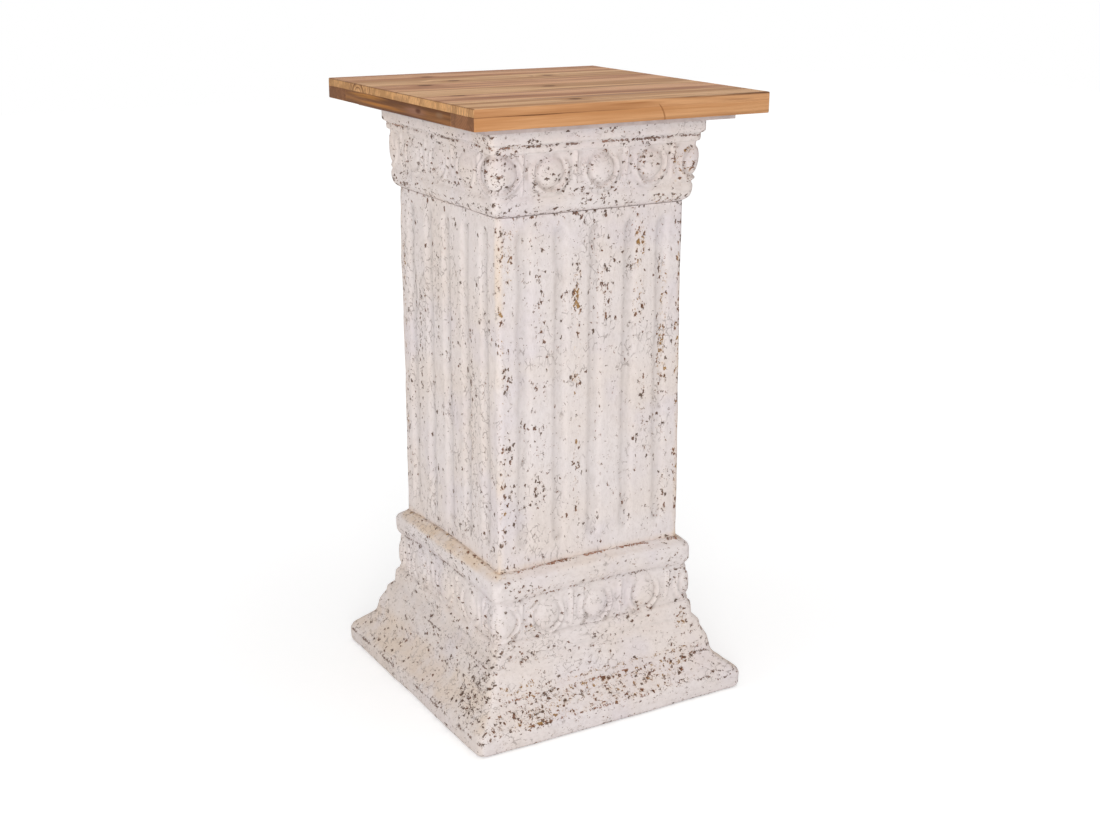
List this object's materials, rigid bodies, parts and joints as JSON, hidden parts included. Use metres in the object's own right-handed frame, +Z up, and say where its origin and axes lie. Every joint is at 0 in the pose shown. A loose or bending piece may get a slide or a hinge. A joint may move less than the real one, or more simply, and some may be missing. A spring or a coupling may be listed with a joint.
{
  "type": "pedestal column stand",
  "caption": "Square fluted column pedestal with a moulded foot, egg-and-dart bands and a plank top to stand things on.",
  "frame": {"origin": "centre of the foot's outline, on the floor", "axes": "+Z up the column, -Y towards the front face, +X along the top's planks"},
  "size_m": [0.35, 0.35, 0.69],
  "materials": {
    "cast_stone": "matt, worn off-white over brown, pitted",
    "backing_board": "painted off-white, matt",
    "fir_planks": "oiled fir with knots, satin",
    "fir_edging": "oiled fir, satin",
    "plain_timber": "sawn, untreated",
    "zinc_steel": "zinc plated"
  },
  "bodies": {
    "root": {"base_casting": "cast_stone", "shaft_casting": "cast_stone", "capital_casting": "cast_stone", "backing_board": "backing_board", "board_screws": "zinc_steel", "top_plank_1": "fir_planks", "top_plank_2": "fir_planks", "top_plank_3": "fir_planks", "top_plank_4": "fir_planks", "top_plank_5": "fir_planks", "top_plank_6": "fir_planks", "front_edge_strip": "fir_edging", "rear_edge_strip": "fir_edging", "left_edge_strip": "fir_edging", "right_edge_strip": "fir_edging", "batten_1": "plain_timber", "batten_2": "plain_timber", "capital_block_1": "plain_timber", "capital_block_2": "plain_timber", "capital_block_3": "plain_timber", "capital_block_4": "plain_timber"}
  },
  "joints": []
}
